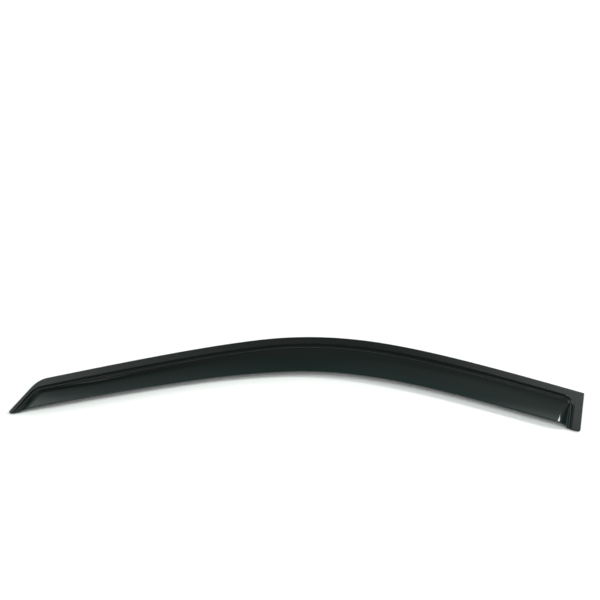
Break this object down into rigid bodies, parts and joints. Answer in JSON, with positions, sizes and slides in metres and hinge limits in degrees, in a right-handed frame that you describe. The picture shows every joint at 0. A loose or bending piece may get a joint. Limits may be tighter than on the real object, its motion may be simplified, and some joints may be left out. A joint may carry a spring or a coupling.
{
  "type": "window rain deflector",
  "caption": "Smoked acrylic rain deflector for a car's front door window: arched shell with a pointed front, a square rear end and adhesive strips.",
  "frame": {"origin": "centre of the shell's plan box, in the plane of the release film's outer side, on which the part lies", "axes": "+X along the deflector, from the pointed front tip to the square rear end; +Y across it, towards the arched edge; +Z away from the glass"},
  "size_m": [0.9758, 0.2102, 0.0167],
  "materials": {
    "smoked_acrylic": "gloss body, satin flange",
    "foam_tape": "matte",
    "release_film": "satin film"
  },
  "bodies": {
    "root": {"visor": "smoked_acrylic", "tape_top": "foam_tape", "tape_rear": "foam_tape", "tape_front": "foam_tape", "liner_top": "release_film", "liner_rear": "release_film", "liner_front": "release_film"}
  },
  "joints": []
}
